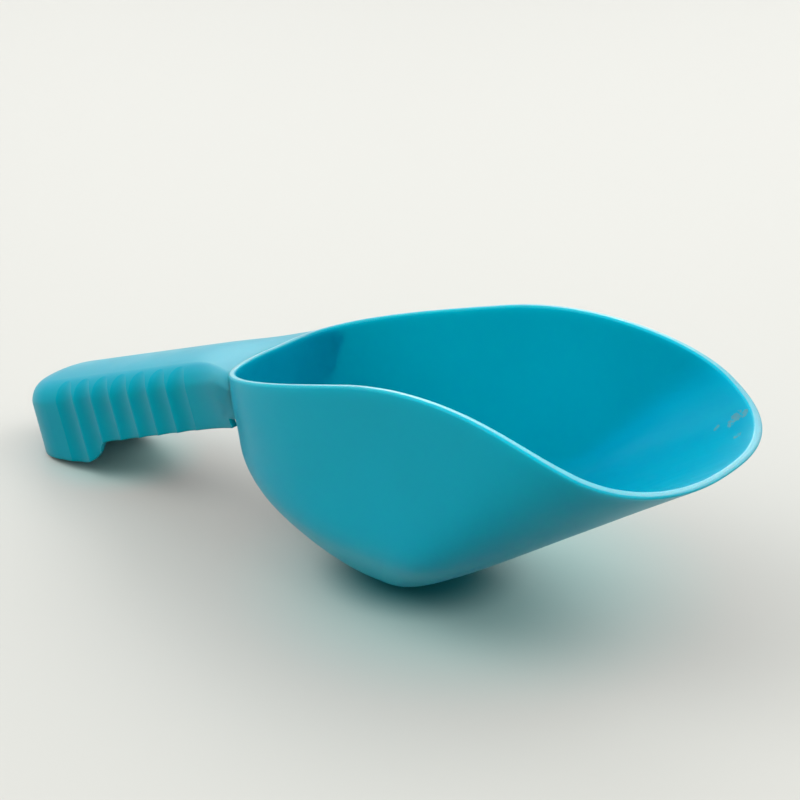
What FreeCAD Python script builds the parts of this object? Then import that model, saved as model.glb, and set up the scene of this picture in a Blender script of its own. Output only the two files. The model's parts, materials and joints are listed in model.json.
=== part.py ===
import FreeCAD, Part
import math
import os

from FreeCAD import Vector

# Feed scoop, all sizes in millimetres and degrees.
# +X points out over the lip and +Z is up. The origin is the middle of the flat spot under the bowl,
# on the surface that the scoop stands on. The scoop is the same on both sides of the plane y = 0.

# Bowl: flat spot, walls and the ramp that runs up to the lip
wall = 2.2
base_length = 20.6
base_width = 24.4
back_reach = 60.0
back_height = 64.8
back_lean = 5.3
back_corner_height = 37.4
side_corner_height = 32.4
corner_fullness = 1.4
side_half_width = 44.5
side_flare = 0.00146
heel_radius = 22.5
ramp_angle = 33.5

# Bowl: plan outline, from a nearly square back to a rounded front
shoulder_x = 8.7
shoulder_advance = 0.74
back_roundness_low = 1.85
back_roundness_high = 3.23
front_roundness_low = 2.9
front_roundness_high = 2.37
roundness_rise = 60.0
base_blend_rise = 5.0

# Rim: level at the back, then a long S down to the lip
rim_tilt = 15.87
rim_straight = 72.3
rim_fall_radius = 140.0
rim_fall_angle = 37.4
rim_sweep_radius = 122.0
rim_edge_radius = 0.7

# Handle: an upside-down channel that falls away from the back of the rim
handle_length = 126.2
handle_pitch = 19.8
handle_rise = 3.3
handle_half_width = 19.6
handle_draft = 2.0
handle_depth = 23.1
neck_depth = 21.2
handle_wall = 2.6
crown_radius = 50.0
neck_crown_radius = 500.0
shoulder_radius = 9.0
neck_shoulder_radius = 5.0
grip_start = 32.0

# Handle: flare where it meets the bowl
flare_length = 22.0
flare_width_high = 15.0
flare_width_low = 4.0
neck_reach = 20.0

# Handle: foot at the free end, which stands on the same surface as the bowl
foot_front = 86.5
foot_front_depth = 31.6
foot_slant = 7.0
foot_heel_radius = 14.0
foot_toe_radius = 14.0
foot_root_radius = 5.0

# Handle: finger flutes along both sides
flute_count = 7
flute_pitch = 10.6
flute_first = 30.8
flute_width = 9.8
flute_depth = 1.0
flute_fade = 1.2

# Joint: a hollow tongue on the bowl fills the front of the handle's channel
tongue_length = 18.0
tongue_wall = 2.0
tongue_drop = 17.0
tongue_clearance = 0.15
relief_reach = 4.0
relief_height = 3.6

# How finely the curved forms are drawn, and how far the cutting blocks stand clear
TRACE_COUNT = 60
OUTLINE_COUNT = 16
CORNER_LEVEL_COUNT = 8
WALL_LEVEL_COUNT = 8
HANDLE_SPAN_COUNT = 12
CROWN_POINT_COUNT = 3
SHOULDER_POINT_COUNT = 4
CLEAR = 5.0


def sin(angle):
    return math.sin(math.radians(angle))


def cos(angle):
    return math.cos(math.radians(angle))


def tan(angle):
    return math.tan(math.radians(angle))


def rounded_wire(corners):
    """A closed wire through (point, radius) corners, with a tangent arc at each corner that has a radius."""
    edges = []
    ends = []
    count = len(corners)
    for index, (point, radius) in enumerate(corners):
        before = corners[index - 1][0] - point
        after = corners[(index + 1) % count][0] - point
        before.normalize()
        after.normalize()
        if radius <= 0:
            ends.append((point, None, point))
            continue
        half = before.getAngle(after) / 2
        reach = radius / math.tan(half)
        middle = before + after
        middle.normalize()
        centre = point + middle * (radius / math.sin(half))
        ends.append((point + before * reach, centre - middle * radius, point + after * reach))
    for index, (start, crest, stop) in enumerate(ends):
        if crest is not None:
            edges.append(Part.Arc(start, crest, stop).toShape())
        following = ends[(index + 1) % count][0]
        if (following - stop).Length > 1e-6:
            edges.append(Part.LineSegment(stop, following).toShape())
    return Part.Wire(edges)


def corner_swing(rise, height):
    """How far a rounded corner has swung, from 0 on the floor to 1 at the wall, at a rise above the floor."""
    left = max(0.0, 1.0 - rise / height)
    return (1.0 - left ** corner_fullness) ** (1.0 / corner_fullness)


def back_profile(z, inset):
    """X of the back wall at height z, moved inwards by inset."""
    wall_x = -back_reach + (back_height - z) * tan(back_lean) + inset
    swing = corner_swing(z - inset, back_corner_height - inset)
    return wall_x + (-base_length / 2 - wall_x) * (1 - swing)


def front_profile(z, inset):
    """X of the ramp at height z, moved inwards by inset: a heel arc and then a straight ramp."""
    radius = heel_radius - inset
    heel_top = heel_radius - radius * cos(ramp_angle)
    if z < heel_top:
        return base_length / 2 + math.sqrt(max(0.0, radius ** 2 - (heel_radius - z) ** 2))
    return base_length / 2 + radius * sin(ramp_angle) + (z - heel_top) / tan(ramp_angle)


def side_profile(z, inset):
    """Half-width of the bowl at height z, moved inwards by inset."""
    swing = corner_swing(z - inset, side_corner_height - inset)
    return base_width / 2 + (side_half_width - inset - base_width / 2) * swing


def blend(first, second, share):
    return first + (second - first) * min(1.0, share)


def half_outline(z, inset):
    """One side of a level section, as close points from the back, round the shoulders, to the front."""
    back_x = back_profile(z, inset)
    front_x = front_profile(z, inset)
    settled = 1 - math.exp(-(z - inset) / base_blend_rise)
    back_shoulder = shoulder_x * settled
    front_shoulder = back_shoulder + shoulder_advance * (z - inset)
    back_power = 2 / blend(2, blend(back_roundness_low, back_roundness_high, z / roundness_rise), settled)
    front_power = 2 / blend(2, blend(front_roundness_low, front_roundness_high, z / roundness_rise), settled)
    turns = [90.0 * i / TRACE_COUNT for i in range(TRACE_COUNT + 1)]
    back = [(back_shoulder - (back_shoulder - back_x) * cos(a) ** back_power, sin(a) ** back_power)
            for a in turns[:-1]]
    front = [(front_shoulder + (front_x - front_shoulder) * cos(a) ** front_power, sin(a) ** front_power)
             for a in reversed(turns[:-1])]
    half_width = side_profile(z, inset)
    return [Vector(x, -y * half_width * (1 + side_flare * x), z) for x, y in back + front]


def evenly_spaced(points, spans):
    """Points at equal steps along a polyline, from its first point to its last."""
    travelled = [0.0]
    for start, stop in zip(points, points[1:]):
        travelled.append(travelled[-1] + (stop - start).Length)
    chosen = []
    index = 0
    for span in range(spans):
        target = travelled[-1] * span / spans
        while travelled[index + 1] < target:
            index += 1
        share = (target - travelled[index]) / (travelled[index + 1] - travelled[index])
        chosen.append(points[index] + (points[index + 1] - points[index]) * share)
    return chosen + [points[-1]]


def section_wire(z, inset):
    """A closed level outline of the bowl as one smooth curve."""
    near = evenly_spaced(half_outline(z, inset), OUTLINE_COUNT)
    far = [Vector(p.x, -p.y, z) for p in reversed(near[1:-1])]
    curve = Part.BSplineCurve()
    knots = [float(i) for i in range(len(near + far) + 1)]
    curve.interpolate(Points=near + far, PeriodicFlag=True, Parameters=knots)
    return Part.Wire([curve.toShape()])


def bowl_body(inset, top):
    """A closed body from the flat spot to a level above the rim."""
    corner_rise = back_corner_height - inset
    levels = [inset + corner_rise * (i / CORNER_LEVEL_COUNT) ** 2 for i in range(CORNER_LEVEL_COUNT + 1)]
    step = (top - levels[-1]) / WALL_LEVEL_COUNT
    levels += [levels[-1] + step * (i + 1) for i in range(WALL_LEVEL_COUNT)]
    return Part.makeLoft([section_wire(z, inset) for z in levels], True, False)


def rim_frame(along, rise):
    """A point in the plane y = 0, measured along the level back part of the rim and square to it."""
    x = -back_reach + along * cos(rim_tilt) - rise * sin(rim_tilt)
    z = back_height + along * sin(rim_tilt) + rise * cos(rim_tilt)
    return Vector(x, 0, z)


def above_rim(reach):
    """Everything above the S line of the rim, as a wide block."""
    fall_end = rim_straight + rim_fall_radius * sin(rim_fall_angle)
    fall_drop = rim_fall_radius * (1 - cos(rim_fall_angle))
    half_angle = rim_fall_angle / 2
    fall_mid = rim_frame(rim_straight + rim_fall_radius * sin(half_angle),
                         -rim_fall_radius * (1 - cos(half_angle)))
    centre_along = fall_end + rim_sweep_radius * sin(rim_fall_angle)
    centre_rise = -fall_drop + rim_sweep_radius * cos(rim_fall_angle)
    sweep_mid = rim_frame(centre_along - rim_sweep_radius * sin(half_angle),
                          centre_rise - rim_sweep_radius * cos(half_angle))
    sweep_end = rim_frame(centre_along, centre_rise - rim_sweep_radius)
    far_back = rim_frame(-reach, 0)
    flat_end = rim_frame(rim_straight, 0)
    fall_stop = rim_frame(fall_end, -fall_drop)
    edges = [
        Part.LineSegment(far_back, flat_end).toShape(),
        Part.Arc(flat_end, fall_mid, fall_stop).toShape(),
        Part.Arc(fall_stop, sweep_mid, sweep_end).toShape(),
    ]
    past_lip = sweep_end + rim_frame(reach, 0) - rim_frame(0, 0)
    corners = [sweep_end, past_lip, rim_frame(2 * reach, reach), rim_frame(-reach, reach), far_back]
    for start, stop in zip(corners, corners[1:]):
        edges.append(Part.LineSegment(start, stop).toShape())
    face = Part.Face(Part.Wire(edges))
    face.translate(Vector(0, -reach, 0))
    return face.extrude(Vector(0, 2 * reach, 0))


def handle_frame(along, depth):
    """A point in the plane y = 0, measured back along the handle from the rim and down from its top."""
    x = -back_reach - along * cos(handle_pitch) + depth * sin(handle_pitch)
    z = back_height - along * sin(handle_pitch) - depth * cos(handle_pitch)
    return Vector(x, 0, z)


def across(point, y):
    return Vector(point.x, y, point.z)


def handle_down():
    """Unit vector square to the top of the handle, pointing down."""
    return handle_frame(0, 1) - handle_frame(0, 0)


def ease(along, start, stop):
    """Goes smoothly from 0 at one place along the handle to 1 at another."""
    share = (along - start) / (stop - start)
    return (1 - cos(180 * max(0.0, min(1.0, share)))) / 2


def crest_rise(along):
    """Height of the crest over the line of the handle: it leaves the rim's plane gently and swells to the grip."""
    swell = ease(along, 0.0, grip_start)
    return swell * handle_rise + (1 - swell) * along * tan(handle_pitch - rim_tilt)


def channel_profile(along, inset):
    """Half of the handle's cross-section at one place along it, moved inwards by inset.

    It gives the crown and the rounded shoulder as close points, and the foot of the drafted side, all as
    (half-width, depth).
    """
    share = 1 - ease(along, -neck_reach, flare_length)
    rounded = ease(along, 0.0, grip_start)
    crown_bend = 1 / (rounded / crown_radius + (1 - rounded) / neck_crown_radius)
    shoulder_bend = neck_shoulder_radius + (shoulder_radius - neck_shoulder_radius) * rounded
    narrowing = (flare_width_high - flare_width_low) * share / profile_depth
    slope = tan(handle_draft) - narrowing
    lean = math.atan(slope)
    side = handle_half_width + flare_width_high * share - inset / math.cos(lean)
    corner = shoulder_bend - inset
    hub_depth = crown_bend - crest_rise(along)
    reach = side - corner / math.cos(lean)
    run = hub_depth - reach * slope
    square = reach ** 2 + hub_depth ** 2 - (crown_bend - shoulder_bend) ** 2
    centre_depth = (run - math.sqrt(run ** 2 - (1 + slope ** 2) * square)) / (1 + slope ** 2)
    centre_side = reach + slope * centre_depth
    tilt = math.atan2(centre_side, hub_depth - centre_depth)
    crest = crown_bend - inset
    crown_turns = [tilt * i / CROWN_POINT_COUNT for i in range(CROWN_POINT_COUNT + 1)]
    crown = [(crest * math.sin(t), hub_depth - crest * math.cos(t)) for t in crown_turns]
    swing = math.pi / 2 - lean - tilt
    turns = [tilt + swing * i / SHOULDER_POINT_COUNT for i in range(SHOULDER_POINT_COUNT + 1)]
    shoulder = [(centre_side + corner * math.sin(t), centre_depth - corner * math.cos(t)) for t in turns]
    return crown, shoulder, (side + slope * profile_depth, profile_depth), tilt


def smooth_edge(points, start, stop):
    """One smooth edge through points, with given directions at its two ends."""
    curve = Part.BSplineCurve()
    curve.interpolate(Points=points, InitialTangent=start, FinalTangent=stop)
    return curve.toShape()


def half_section(along, inset, sign):
    """Edges of half a cross-section, from the crest round the shoulder and down to the foot of the side."""
    crown, shoulder, foot, tilt = channel_profile(along, inset)

    def spot(place):
        half_width, depth = place
        return across(handle_frame(along, depth), sign * half_width)

    outwards = Vector(0, sign, 0)
    over = outwards * math.cos(tilt) + handle_down() * math.sin(tilt)
    down_side = spot(foot) - spot(shoulder[-1])
    down_side.normalize()
    return [
        smooth_edge([spot(p) for p in crown], outwards, over),
        smooth_edge([spot(p) for p in shoulder], over, down_side),
        Part.LineSegment(spot(shoulder[-1]), spot(foot)).toShape(),
    ]


def channel_section(along, inset):
    """The handle's whole cross-section at one place along it: crown, two rounded shoulders, two sides."""
    near = half_section(along, inset, -1)
    far = half_section(along, inset, 1)
    bottom = Part.LineSegment(near[-1].Vertexes[-1].Point, far[-1].Vertexes[-1].Point).toShape()
    return Part.Wire(near + [bottom] + far[::-1])


def rounded_end(inset):
    """The free end: one half of the straight cross-section turned half round."""
    side = half_section(grip_end, inset, -1)
    crest = side[0].Vertexes[0].Point
    foot = side[-1].Vertexes[-1].Point
    core = handle_frame(grip_end, profile_depth)
    closing = [Part.LineSegment(foot, core).toShape(), Part.LineSegment(core, crest).toShape()]
    face = Part.Face(Part.Wire(side + closing))
    return face.revolve(handle_frame(grip_end, 0), handle_down(), 180)


def channel_body(inset):
    """The solid outer form of the handle, or its hollow when moved inwards by the wall."""
    spacing = (grip_end + neck_reach) / HANDLE_SPAN_COUNT
    sections = [channel_section(spacing * i - neck_reach, inset) for i in range(HANDLE_SPAN_COUNT + 1)]
    return Part.makeLoft(sections, True, False).fuse(rounded_end(inset))


def heel_depth(end):
    """Depth, at a place along the handle, of the sole that runs into a heel arc resting on the floor."""
    centre_along = end - foot_heel_radius
    fall = back_height - centre_along * sin(handle_pitch) - foot_heel_radius
    centre_depth = fall / cos(handle_pitch)
    run = centre_along - foot_front
    rise = centre_depth - foot_front_depth
    slope = math.atan2(rise, run) + math.asin(foot_heel_radius / math.hypot(run, rise))
    return foot_front_depth + math.tan(slope) * (end - foot_front)


def side_trim():
    """Side view of the handle as a wide block: bottom edge, foot and heel."""
    reach = 2 * handle_half_width + 2 * flare_width_high
    end = handle_length + CLEAR
    root = foot_front - foot_slant
    rise_rate = (handle_depth - neck_depth) / root
    front = -flare_length
    corners = [
        (handle_frame(front, -2 * CLEAR), 0),
        (handle_frame(end, -2 * CLEAR), 0),
        (handle_frame(end, heel_depth(end)), foot_heel_radius),
        (handle_frame(foot_front, foot_front_depth), foot_toe_radius),
        (handle_frame(root, handle_depth), foot_root_radius),
        (handle_frame(front, neck_depth + rise_rate * front), 0),
    ]
    face = Part.Face(rounded_wire(corners))
    face.translate(Vector(0, -reach, 0))
    return face.extrude(Vector(0, 2 * reach, 0))


def flute_cutters(sign):
    """Round bars that each scoop one flute out of a drafted side and fade out round the shoulder."""
    radius = (flute_width ** 2 / 4 + flute_depth ** 2) / (2 * flute_depth)
    side, depth = channel_profile(grip_end, 0.0)[1][-1]
    out = Vector(0, sign, 0) * cos(handle_draft) - handle_down() * sin(handle_draft)
    down = handle_down() * cos(handle_draft) + Vector(0, sign, 0) * sin(handle_draft)
    bend = shoulder_radius + flute_fade + radius
    bars = []
    for index in range(flute_count):
        seat = across(handle_frame(flute_first + flute_pitch * index, depth), sign * side)
        start = seat + out * (radius - flute_depth)
        centre = start - out * bend
        stop = centre - down * bend
        middle = centre + (out - down) * (bend / math.sqrt(2))
        path = Part.Wire([
            Part.LineSegment(start + down * (profile_depth + 2 * CLEAR), start).toShape(),
            Part.Arc(start, middle, stop).toShape(),
        ])
        ring = Part.makeCircle(radius, start + down * (profile_depth + 2 * CLEAR), down)
        bars.append(path.makePipeShell([Part.Wire([ring])], True, True))
    return bars


def cross_block(start, stop, high, low):
    """A block right across the handle, between two places along it and two depths."""
    reach = handle_half_width + flare_width_high + CLEAR
    corners = [handle_frame(start, high), handle_frame(stop, high), handle_frame(stop, low),
               handle_frame(start, low)]
    wire = Part.makePolygon(corners + corners[:1])
    wire.translate(Vector(0, -reach, 0))
    return Part.Face(wire).extrude(Vector(0, 2 * reach, 0))


def make_handle(bowl_outside):
    handle = channel_body(0.0).cut(channel_body(handle_wall))
    handle = handle.common(side_trim())
    handle = handle.cut(flute_cutters(-1) + flute_cutters(1))
    relief = cross_block(-flare_length, relief_reach, neck_depth - relief_height, foot_front_depth)
    return handle.cut(bowl_outside).cut(relief)


def make_tongue(bowl_outside):
    """The hollow tongue behind the bowl that the handle's channel slides over."""
    outer = channel_body(handle_wall + tongue_clearance)
    core = channel_body(handle_wall + tongue_clearance + tongue_wall)
    stop = cross_block(-flare_length, tongue_length, -CLEAR, tongue_drop)
    return outer.cut(core).common(stop).cut(bowl_outside)


def make_bowl(outside, block):
    inside = bowl_body(wall, rim_top + wall)
    shell = outside.cut(inside).cut(block)
    cut_edges = [edge for edge in shell.Edges if edge.Length > 5 * wall]
    rim_edges = [edge for edge in cut_edges if block.isInside(edge.discretize(3)[1], 0.001, True)]
    shell = shell.makeFillet(rim_edge_radius, rim_edges)
    return shell.fuse(make_tongue(outside))


def rim_crest():
    """Height of the highest point of the rim."""
    fall = rim_fall_radius * (1 - cos(rim_tilt))
    return rim_frame(rim_straight + rim_fall_radius * sin(rim_tilt), -fall).z


rim_top = rim_crest() + CLEAR
profile_depth = foot_front_depth + CLEAR
grip_end = handle_length - handle_half_width


def main():
    os.makedirs("parts", exist_ok=True)
    outside = bowl_body(0.0, rim_top)
    block = above_rim(back_reach + handle_length)
    bowl = make_bowl(outside, block)
    handle = make_handle(outside)
    for name, shape in (("bowl", bowl), ("handle", handle)):
        print(name, shape.isValid(), len(shape.Solids), round(shape.Volume / 1000, 2), shape.BoundBox)
        shape.exportStep("parts/" + name + ".step")


main()
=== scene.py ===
# %% [markdown]
# # A feed scoop in satin turquoise plastic
#
# A feed scoop is the simplest of tools: a thin-walled bowl that slides into a sack, and a hollow grooved
# handle to push it with. Its two solids are settled already, at their real size, with every rounded edge
# on them. So this lesson is about looks: how to make a plain solid read as moulded plastic that has been
# used for a while. Nothing here moves or resizes a solid.

# %% Load the two solids
import bpy
import json
import math
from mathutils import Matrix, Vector


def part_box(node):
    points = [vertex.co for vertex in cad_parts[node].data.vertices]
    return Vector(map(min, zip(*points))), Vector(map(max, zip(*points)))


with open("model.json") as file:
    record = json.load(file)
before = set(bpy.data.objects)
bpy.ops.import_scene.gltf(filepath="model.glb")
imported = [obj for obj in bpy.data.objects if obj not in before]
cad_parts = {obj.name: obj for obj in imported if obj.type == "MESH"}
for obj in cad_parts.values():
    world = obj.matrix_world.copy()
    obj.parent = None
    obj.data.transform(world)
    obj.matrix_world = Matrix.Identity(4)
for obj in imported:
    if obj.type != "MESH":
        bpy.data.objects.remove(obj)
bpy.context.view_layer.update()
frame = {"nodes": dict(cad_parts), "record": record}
scene = bpy.context.scene
bowl = frame["nodes"]["bowl"]
handle = frame["nodes"]["handle"]

# %% [markdown]
# Places are worked out from the boxes of the two solids, so they follow if the scoop ever gets another
# length or height: the tip of the lip, the height of the rim, and a spot in the shadow under the handle, a
# little in from the foot at its end. The middle of the bowl's flat base comes from the record, which gives
# it as a mount.

# %% Measure them
MM = 0.001
SHADOW_FROM_END = 40 * MM
bowl_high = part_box("bowl")[1]
handle_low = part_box("handle")[0]
LIP_X = bowl_high[0]
RIM_HEIGHT = bowl_high[2]
BASE = Vector(frame["record"]["mounts"][0]["pos_m"])
UNDER_HANDLE = Vector((handle_low[0] + SHADOW_FROM_END, 0, 0))
print(f"scoop {(LIP_X - handle_low[0]) / MM:.0f} mm long, rim {RIM_HEIGHT / MM:.0f} mm up")

# %% [markdown]
# ## Where we stand
#
# We look at the scoop from its near side and somewhat from beyond its lip, a little from above. A short
# lens up close would swell the lip and shrink the handle, so we stand well back with a long one. The
# camera could be placed by hand, but it is easier to change when it is given as two angles and a distance
# from the point that it looks at, near the middle of the scoop.

# %% Camera
VIEW_AZIMUTH = math.radians(38)
VIEW_ELEVATION = math.radians(24)
VIEW_DISTANCE = 0.7
LENS_MM = 90
SENSOR_MM = 36
look_at = Vector((-14, 17, 51.6)) * MM

back = Vector((
    math.sin(VIEW_AZIMUTH) * math.cos(VIEW_ELEVATION),
    -math.cos(VIEW_AZIMUTH) * math.cos(VIEW_ELEVATION),
    math.sin(VIEW_ELEVATION),
))
camera_data = bpy.data.cameras.new("camera")
camera_data.lens = LENS_MM
camera_data.sensor_width = SENSOR_MM
camera = bpy.data.objects.new("camera", camera_data)
camera.location = look_at + back * VIEW_DISTANCE
camera.rotation_euler = (math.pi / 2 - VIEW_ELEVATION, 0, VIEW_AZIMUTH)
scene.collection.objects.link(camera)
scene.camera = camera
print("camera at", [round(c, 3) for c in camera.location])

# %% [markdown]
# ## Helpers for materials
#
# A material could be clicked together in the shader editor, but a script keeps a record of every step.
# Three lines to make one node soon hide the idea, so one helper makes a node and fills its sockets: a
# plain value is set, and another node's output is linked. The other helpers are the few nodes that come
# back all the time. The one to know is the fade, which turns one range of values softly into another.
# Nearly every mask below is a fade of something: a distance, a noise, or a direction.

# %% Node helpers
def node(tree, kind, sockets, **settings):
    made = tree.nodes.new("ShaderNode" + kind)
    for name, value in settings.items():
        setattr(made, name, value)
    for socket, value in sockets.items():
        if isinstance(value, bpy.types.NodeSocket):
            tree.links.new(value, made.inputs[socket])
        else:
            made.inputs[socket].default_value = value
    return made


def fade(tree, value, start, stop, low=0.0, high=1.0):
    sockets = {"Value": value, "From Min": start, "From Max": stop, "To Min": low, "To Max": high}
    return node(tree, "MapRange", sockets, interpolation_type="SMOOTHSTEP").outputs["Result"]


def fade_out(tree, value, start, stop):
    return fade(tree, value, start, stop, low=1.0, high=0.0)


def combine(tree, operation, first, second):
    return node(tree, "Math", {0: first, 1: second}, operation=operation).outputs[0]


def product(tree, first, *others):
    for other in others:
        first = combine(tree, "MULTIPLY", first, other)
    return first


def noise(tree, position, scale, detail):
    return node(tree, "TexNoise", {"Vector": position, "Scale": scale, "Detail": detail}).outputs[0]


def blend_colour(tree, factor, first, second):
    return node(tree, "Mix", {0: factor, 6: first, 7: second}, data_type="RGBA").outputs[2]


print("helpers ready: node, fade, fade_out, combine, product, noise, blend_colour")

# %% [markdown]
# Every material below starts in the same way, and most ask the same two questions about the spot that they
# colour: where on the piece is it, and which way does it face? The place is counted from the piece's own
# origin. An image laid over the solid could mark places too, but it would have to be unwrapped first. The
# direction is the world's, which will do here, because the scoop always stands upright.

# %% Where a spot is, and which way it faces
def new_material(name):
    material = bpy.data.materials.new(name)
    material.use_nodes = True
    return material, material.node_tree, material.node_tree.nodes["Principled BSDF"]


def place_on_piece(tree):
    return node(tree, "TexCoord", {}).outputs["Object"]


def split(tree, vector):
    return node(tree, "SeparateXYZ", {"Vector": vector}).outputs


def direction(tree):
    return split(tree, node(tree, "NewGeometry", {}).outputs["Normal"])


def distance_from(tree, position, spot):
    return node(tree, "VectorMath", {0: position, 1: spot}, operation="DISTANCE").outputs["Value"]


print("helpers ready: new_material, place_on_piece, split, direction, distance_from")

# %% [markdown]
# ## The table
#
# A pale table has two jobs. The eye should see it nearly white, and it throws light up at the underside
# of the bowl. A real white table does both at once, which fills the underside until the bowl looks flat.
# Light Path tells the two apart: rays from the camera, and those that a glossy or clear surface passes
# on, see the white, and the rest see a dark grey, so the belly of the bowl stays deep in tone.

# %% The table's mesh
TABLE_REACH = 6.0
CORNER_SIGNS = ((-1, -1), (1, -1), (1, 1), (-1, 1))
table_mesh = bpy.data.meshes.new("table")
corners = [(x * TABLE_REACH, y * TABLE_REACH, 0) for x, y in CORNER_SIGNS]
table_mesh.from_pydata(corners, [], [(0, 1, 2, 3)])
table = bpy.data.objects.new("table", table_mesh)
scene.collection.objects.link(table)
print("table", 2 * TABLE_REACH, "m square")

# %% [markdown]
# Light that has gone through coloured plastic leaves a soft glow of its colour in the shadow. The
# renderer could be made to trace that light, with many samples, and would still be noisy. Here two patches
# of painted turquoise light lie on the table instead, one under the bowl and a small one under the handle,
# and both fade out softly. A painted shadow, a darker patch, marks the wedge round the bowl's base, where
# hardly any other light gets in.

# %% The table's finish, with painted light and painted shadow
TABLE_WHITE = (0.64, 0.64, 0.60, 1)
# Painted light: turquoise, laid on the table where light through the plastic would fall.
PAINTED_TEAL_LIGHT = (0.46, 0.73, 0.69, 1)
# Painted shadow: a dark patch in the wedge round the bowl's base.
PAINTED_WEDGE_SHADOW = (0.02, 0.24, 0.26, 1)
TABLE_BOUNCE = (0.06, 0.06, 0.06, 1)
UNDER_BOWL = BASE + Vector((26, 8, 0)) * MM
BESIDE_BASE = BASE + Vector((9, 0, 0)) * MM


def seen_rays(tree):
    rays = node(tree, "LightPath", {}).outputs
    seen = combine(tree, "MAXIMUM", rays["Is Camera Ray"], rays["Is Glossy Ray"])
    return combine(tree, "MAXIMUM", seen, rays["Is Transmission Ray"])


# A soft round patch, strongest at a spot; it lays the painted light and the painted shadow.
def painted_spot(tree, position, spot, inner, outer):
    return fade_out(tree, distance_from(tree, position, spot), inner, outer)


def white_table():
    material, tree, shader = new_material("table_white")
    position = place_on_piece(tree)
    # Painted light under the bowl and the handle, and painted shadow at the base.
    bowl_painted_light = painted_spot(tree, position, UNDER_BOWL, inner=15 * MM, outer=95 * MM)
    handle_painted_light = painted_spot(tree, position, UNDER_HANDLE, inner=8 * MM, outer=36 * MM)
    painted_wedge_shadow = painted_spot(tree, position, BESIDE_BASE, inner=14 * MM, outer=40 * MM)
    painted_light = combine(tree, "MAXIMUM", bowl_painted_light, handle_painted_light)

    colour = blend_colour(tree, painted_light, TABLE_WHITE, PAINTED_TEAL_LIGHT)
    colour = blend_colour(tree, painted_wedge_shadow, colour, PAINTED_WEDGE_SHADOW)
    colour = blend_colour(tree, seen_rays(tree), TABLE_BOUNCE, colour)
    tree.links.new(colour, shader.inputs["Base Color"])
    shader.inputs["Roughness"].default_value = 0.6
    shader.inputs["Specular IOR Level"].default_value = 0.15
    return material


table_mesh.materials.append(white_table())
print("table finish:", len(table_mesh.materials[0].node_tree.nodes), "nodes")

# %% [markdown]
# ## What the plastic is
#
# The scoop is moulded in coloured polypropylene, a milky plastic: light sinks into it and comes out again
# nearby, which softens every shadow and lets a thin wall glow against the light. On a painted surface it
# would stop at the skin. Subsurface scattering gives that milkiness. Its radius is set per colour, and
# red has almost none, because the pigment swallows red at once.
#
# The wear is drawn from three masks: streaks of feed, scuffs, and rubbed edges, whose paler colour is
# partly wear and partly a painted highlight. Two more masks paint light: a painted sheen on the flat land
# of the rim, and painted light on the inside. We make them one at a time, and join them at the end. Under
# them all, the colour itself drifts a little between two turquoises, because pigment never mixes in
# evenly. One flat colour would look computed.

# %% The colour, and how it drifts
DEEP_TURQUOISE = (0.0, 0.332, 0.475, 1)
CLEAR_TURQUOISE = (0.0, 0.362, 0.51, 1)
DRIFTS_PER_METRE = 11.0
DRIFT_RANGE = (0.35, 0.65)


def drifting_colour(tree, position):
    clouds = noise(tree, position, DRIFTS_PER_METRE, detail=2.0)
    return blend_colour(tree, fade(tree, clouds, *DRIFT_RANGE), DEEP_TURQUOISE, CLEAR_TURQUOISE)


print("colour drifts over about", round(1 / DRIFTS_PER_METRE / MM), "mm")

# %% [markdown]
# ### Streaks from feed sliding in, and painted light inside
#
# Grain and pellets slide up the ramp of the bowl at every scoop, and they leave faint lengthwise streaks
# in the last third before the lip. Painted lines would be too regular. Noise stretched along the ramp
# gives streaks of uneven width: its coordinates run slowly along X and Z, and fast across the bowl, along
# Y. The mask keeps them on faces that look up, which are the inside, and lets them fade in towards the
# lip. The inside is also painted lighter from the floor up, on faces that look up: painted light, for the
# light that falls into the bowl from above.

# %% Streaks on the ramp, and painted light inside
STREAK_CROWDING = (5.0, 210.0, 5.0)
STREAK_RANGE = (0.42, 0.62)
STREAK_START = (0.40 * LIP_X, 0.75 * LIP_X)
# Painted light: inside faces that look up are painted lighter from here towards the lip.
PAINTED_LIGHT_START = (0.10 * LIP_X, 0.60 * LIP_X)


def ramp_streaks(tree, position, facing_up):
    crowded = node(tree, "Mapping", {"Vector": position, "Scale": STREAK_CROWDING}).outputs["Vector"]
    lines = fade(tree, noise(tree, crowded, 1.0, detail=3.0), *STREAK_RANGE)
    near_lip = fade(tree, split(tree, position)["X"], *STREAK_START)
    return product(tree, lines, near_lip, facing_up)


# Painted light on the inside of the bowl, where light falls in from above.
def painted_inside_light(tree, position, facing_up):
    return product(tree, fade(tree, split(tree, position)["X"], *PAINTED_LIGHT_START), facing_up)


print("streaks from", round(STREAK_START[0] / MM), "mm to the lip at", round(LIP_X / MM), "mm")

# %% [markdown]
# ### Scuffs behind the lip
#
# A few small dull patches sit inside, just behind the lip, where the scoop has knocked against the rim of
# a bin. Each is a soft spot round one place, broken up by fine noise so that its edge is ragged. They
# could also be modelled as dents, but they have no depth worth the name: only the skin has gone grey.

# %% Scuffs
SCUFFS = [  # behind the lip, off the middle, radius
    (19 * MM, 35.5 * MM, 4.2 * MM),
    (16 * MM, 36 * MM, 2.4 * MM),
    (13.5 * MM, 27.5 * MM, 2.4 * MM),
    (25 * MM, 35 * MM, 1.8 * MM),
]
SCUFF_CORE = 0.3
GRAINS_PER_METRE = 800.0
SCUFF_RANGE = (0.38, 0.46)


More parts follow.
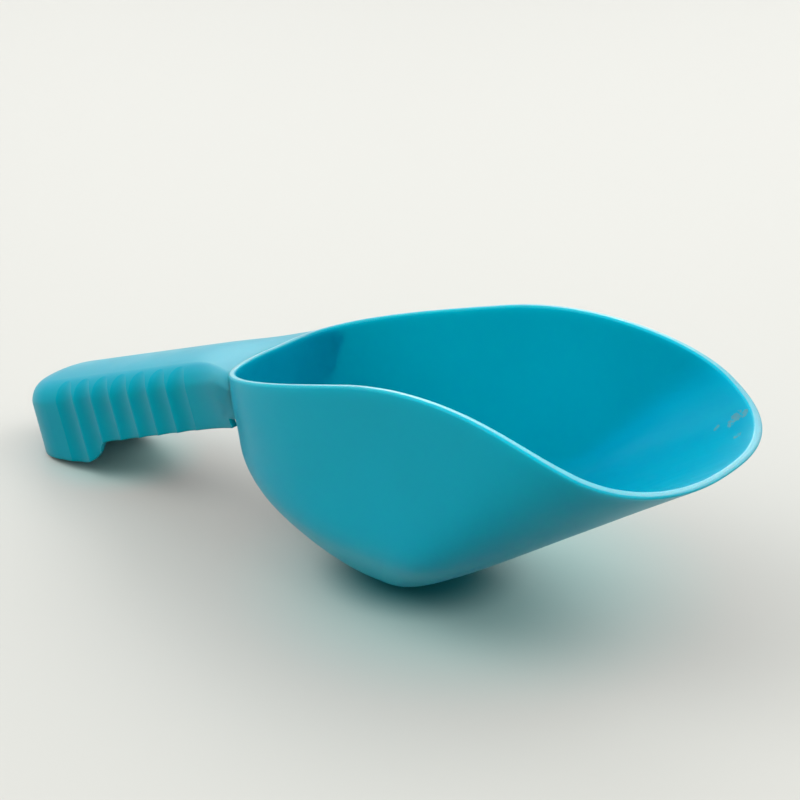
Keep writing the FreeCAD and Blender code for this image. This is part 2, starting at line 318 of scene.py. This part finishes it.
def scuffs(tree, position, facing_up):
    level = node(tree, "VectorMath", {0: position, 1: (1, 1, 0)}, operation="MULTIPLY").outputs["Vector"]
    spots = 0.0
    for behind, aside, radius in SCUFFS:
        away = distance_from(tree, level, (LIP_X - behind, aside, 0))
        spots = combine(tree, "MAXIMUM", spots, fade_out(tree, away, SCUFF_CORE * radius, radius))
    ragged = product(tree, spots, noise(tree, position, GRAINS_PER_METRE, detail=4.0))
    return product(tree, fade(tree, ragged, *SCUFF_RANGE), facing_up)


print(len(SCUFFS), "scuffs behind the lip")

# %% [markdown]
# ### Rubbed edges, with a painted highlight
#
# The rim and the other outer corners rub against everything, and turn paler; the pale colour is also a
# painted highlight, for the bright line that light draws along rounded edges. To find the corners we
# could mark faces by hand, but the Bevel node finds them by itself: it gives the normal that the surface
# would have if its corners were rounder. Where that differs from the true normal, there is a corner.

# %% Rubbed edges and painted highlight
EDGE_REACH = 1.3 * MM
EDGE_RANGE = (0.90, 0.995)


# Paler edges: partly wear, partly a painted highlight.
def worn_and_highlit_edges(tree):
    true_normal = node(tree, "NewGeometry", {}).outputs["Normal"]
    rounder = node(tree, "Bevel", {"Radius": EDGE_REACH}, samples=6).outputs["Normal"]
    same = node(tree, "VectorMath", {0: true_normal, 1: rounder}, operation="DOT_PRODUCT").outputs["Value"]
    return fade_out(tree, same, *EDGE_RANGE)


print("edges rubbed about", round(EDGE_REACH / MM, 1), "mm wide")

# %% [markdown]
# The rim also has a narrow flat land between its two rounded edges, and it is painted the palest part
# of all: a painted sheen, for the bright sky that the land reflects. It could be selected by hand, but its
# direction gives it away: the rim was trimmed straight across, so the land never leans to either side,
# looks up, and never leans as far back as the ramp does. The only other place like that is the bowl's
# floor, which is far lower down.

# %% The rim's land, with painted sheen
SIDEWAYS_RANGE = (0.02, 0.12)
UPWARD_RANGE = (0.45, 0.60)
NOT_RAMP_RANGE = (-0.47, -0.38)
RIM_START = (0.35 * RIM_HEIGHT, 0.45 * RIM_HEIGHT)


# Painted sheen on the rim's land.
def rim_land_sheen(tree, position):
    faces = direction(tree)
    level = fade_out(tree, product(tree, faces["Y"], faces["Y"]), *SIDEWAYS_RANGE)
    upward = fade(tree, faces["Z"], *UPWARD_RANGE)
    not_ramp = fade(tree, faces["X"], *NOT_RAMP_RANGE)
    high_up = fade(tree, split(tree, position)["Z"], *RIM_START)
    return product(tree, level, upward, not_ramp, high_up)


print("rim land looked for above", round(RIM_START[0] / MM), "mm")

# %% [markdown]
# ### The skin of the mould
#
# A steel mould isn't a mirror, so the plastic takes a fine orange-peel skin from it. It is far too shallow
# to model. A bump from noise breaks the highlights up just enough, and a slower noise varies how glossy
# the skin is, because hands and feed polish it unevenly. Values that are the same all over, such as the
# depth of the milkiness, are set straight on the shader.
#
# The gloss has a tint of its own. Seen face on, a clear skin over a strong pigment reflects a trace of the
# pigment's colour, while at a slant it reflects plain white. Tinting only the face-on part keeps the walls
# deep in colour and leaves the sheen on the slanted parts pale.

# %% Skin and milkiness
SINK_DEPTH = 10 * MM
SINK_PER_COLOUR = (0.05, 1.15, 0.95)
FACE_ON_TINT = (0.0, 0.7, 0.6, 1)
PEEL_PER_METRE = 380.0
PEEL_DEPTH = 0.02 * MM
GLOSS_PATCHES_PER_METRE = 38.0
NOISE_SPREAD = (0.3, 0.7)


def patchy_gloss(tree, position, glossiest, dullest):
    patches = noise(tree, position, GLOSS_PATCHES_PER_METRE, detail=3.0)
    return fade(tree, patches, *NOISE_SPREAD, low=glossiest, high=dullest)


def mould_skin(tree, position, strength):
    peel = noise(tree, position, PEEL_PER_METRE, detail=1.0)
    sockets = {"Height": peel, "Strength": strength, "Distance": PEEL_DEPTH}
    return node(tree, "Bump", sockets).outputs["Normal"]


def milky_plastic(tree, shader, colour, roughness, skin):
    tree.links.new(colour, shader.inputs["Base Color"])
    tree.links.new(roughness, shader.inputs["Roughness"])
    tree.links.new(skin, shader.inputs["Normal"])
    shader.inputs["Specular IOR Level"].default_value = 0.35
    shader.inputs["Specular Tint"].default_value = FACE_ON_TINT
    shader.inputs["Subsurface Weight"].default_value = 1.0
    shader.inputs["Subsurface Radius"].default_value = SINK_PER_COLOUR
    shader.inputs["Subsurface Scale"].default_value = SINK_DEPTH


print("light sinks in about", round(SINK_DEPTH / MM), "mm")

# %% [markdown]
# ### The bowl's plastic
#
# The order of the layers: the plastic as it left the mould, then the painted light on the inside and the
# streaks from feed, then the rubbed rim with its painted sheen and highlight, and the scuffs on top. Each
# layer is a blend by its mask, held back to a share, so that nothing looks painted on. Streaks and scuffs
# dull the gloss as well, which shows more than their colour does when the scoop is turned in the light.

# %% Dress the bowl
# The lighter turquoise of the painted light inside the bowl.
PAINTED_LIGHT_TURQUOISE = (0.0, 0.44, 0.68, 1)
STREAK_TURQUOISE = (0.0, 0.50, 0.62, 1)
# Pale for worn edges, and for the painted sheen and highlight on the rim.
WORN_AND_SHEEN_PALE = (0.45, 0.64, 0.70, 1)
SCUFF_GREY = (0.14, 0.34, 0.40, 1)
INSIDE_RANGE = (0.05, 0.30)
SCUFF_DULLING = 0.25
STREAK_DULLING = 0.06


def bowl_plastic():
    material, tree, shader = new_material("bowl_turquoise")
    position = place_on_piece(tree)
    facing_up = fade(tree, direction(tree)["Z"], *INSIDE_RANGE)
    inside_painted_light = painted_inside_light(tree, position, facing_up)
    streaks = ramp_streaks(tree, position, facing_up)
    # Worn edges with a painted highlight, and painted sheen on the rim's land.
    wear_and_sheen = combine(tree, "MAXIMUM", worn_and_highlit_edges(tree), rim_land_sheen(tree, position))
    marks = scuffs(tree, position, facing_up)

    layers = (  # mask, share, colour
        (inside_painted_light, 0.70, PAINTED_LIGHT_TURQUOISE),
        (streaks, 0.16, STREAK_TURQUOISE),
        (wear_and_sheen, 0.40, WORN_AND_SHEEN_PALE),
        (marks, 0.80, SCUFF_GREY),
    )
    colour = drifting_colour(tree, position)
    for mask, share, tone in layers:
        colour = blend_colour(tree, product(tree, mask, share), colour, tone)

    rough = patchy_gloss(tree, position, glossiest=0.28, dullest=0.34)
    for mask, dulling in ((marks, SCUFF_DULLING), (streaks, STREAK_DULLING)):
        rough = combine(tree, "ADD", rough, product(tree, mask, dulling))
    milky_plastic(tree, shader, colour, rough, mould_skin(tree, position, strength=0.12))
    return material


bowl.material_slots[0].material = bowl_plastic()
print("bowl:", len(bowl.material_slots[0].material.node_tree.nodes), "nodes")

# %% [markdown]
# ### The handle's plastic
#
# The handle comes from the same plastic, and could share the bowl's material, but it is dressed
# differently. It takes no scuffs and no streaks. Its skin is duller, and it is painted a shade paler all
# over, most of all down the grooved sides and least on top: painted light, for light that comes through
# its walls. Its edges are hardly rubbed, since they sit inside the fist.

# %% Dress the handle, with painted light
# Painted light: the handle is painted paler, most on its sides; the same pale marks its slightly worn edges.
PALE_LIGHT_AND_WEAR_TURQUOISE = (0.0, 0.46, 0.58, 1)
SIDE_TO_TOP = (0.2, 0.9)
PAINTED_LIGHT_SIDES = 0.56
PAINTED_LIGHT_TOP = 0.20
EDGE_PALING = 0.25
PALING_PATCHES_PER_METRE = 24.0


def handle_plastic():
    material, tree, shader = new_material("handle_turquoise")
    position = place_on_piece(tree)
    # Painted light, stronger on the sides than on top, broken up by noise.
    painted_side_light = fade(tree, direction(tree)["Z"], *SIDE_TO_TOP, low=PAINTED_LIGHT_SIDES, high=PAINTED_LIGHT_TOP)
    uneven = fade(tree, noise(tree, position, PALING_PATCHES_PER_METRE, detail=2.0), *NOISE_SPREAD, low=0.8, high=1.1)
    wear_and_sheen = product(tree, worn_and_highlit_edges(tree), EDGE_PALING)

    colour = drifting_colour(tree, position)
    for mask in (product(tree, painted_side_light, uneven), wear_and_sheen):
        colour = blend_colour(tree, mask, colour, PALE_LIGHT_AND_WEAR_TURQUOISE)
    rough = patchy_gloss(tree, position, glossiest=0.33, dullest=0.40)
    milky_plastic(tree, shader, colour, rough, mould_skin(tree, position, strength=0.18))
    return material


handle.material_slots[0].material = handle_plastic()
print("handle:", len(handle.material_slots[0].material.node_tree.nodes), "nodes")

# %% [markdown]
# ## Light
#
# The scoop stands under an open, cloudy sky, which is one huge soft lamp, brightest overhead and dim near
# the horizon. An even white world would be simpler, but it lights every wall as strongly from the side as
# from above, and the shadow under the bowl all but vanishes. The camera and the gloss see a sky that is
# pale all the way down, since a dim horizon would be mirrored in every wall.

# %% A cloudy sky
HORIZON_GLOW = 0.3
ZENITH_GLOW = 1.0
FULL_GLOW_HEIGHT = 0.7
SEEN_SKY = 0.85


def cloudy_sky():
    world = bpy.data.worlds.new("cloudy_sky")
    world.use_nodes = True
    sky = world.node_tree
    height = split(sky, node(sky, "TexCoord", {}).outputs["Generated"])["Z"]
    glow = fade(sky, height, 0.0, FULL_GLOW_HEIGHT, low=HORIZON_GLOW, high=ZENITH_GLOW)
    seen = product(sky, seen_rays(sky), SEEN_SKY)
    background = sky.nodes["Background"]
    background.inputs["Color"].default_value = (1, 1, 1, 1)
    sky.links.new(combine(sky, "MAXIMUM", glow, seen), background.inputs["Strength"])
    return world


scene.world = cloudy_sky()
scene.view_settings.view_transform = "Standard"
print("sky glows from", HORIZON_GLOW, "at the horizon to", ZENITH_GLOW, "overhead")

# %% [markdown]
# Three soft boxes help the sky. Two hang high on opposite sides and deepen the shadow at the foot. The
# third stands low and behind, and only the gloss sees it: it lays a pale sheen on the rim and on the walls
# that we see at a slant. Point lamps could do the same, but their mirror images would be hard bright dots.
# A box's energy is worked out from its area, so its brightness stays as written at any size.

# %% Soft boxes
def soft_box(name, place, size, brightness):
    data = bpy.data.lights.new(name, "AREA")
    data.shape = "RECTANGLE"
    data.size, data.size_y = size
    data.energy = brightness * size[0] * size[1] * math.pi
    lamp = bpy.data.objects.new(name, data)
    lamp.location = place
    lamp.rotation_euler = (BASE - Vector(place)).to_track_quat("-Z", "Y").to_euler()
    scene.collection.objects.link(lamp)
    print(name, round(data.energy, 1), "W")
    return lamp


sheen = soft_box("sheen_from_behind", place=(-1.1, 1.5, 0.9), size=(1.8, 0.8), brightness=4.8)
sheen.visible_diffuse = False
soft_box("high_sky_left", place=(-1.0, -1.0, 1.4), size=(1.4, 1.4), brightness=1.8)
soft_box("high_sky_right", place=(1.0, 1.0, 1.4), size=(1.4, 1.4), brightness=1.8)
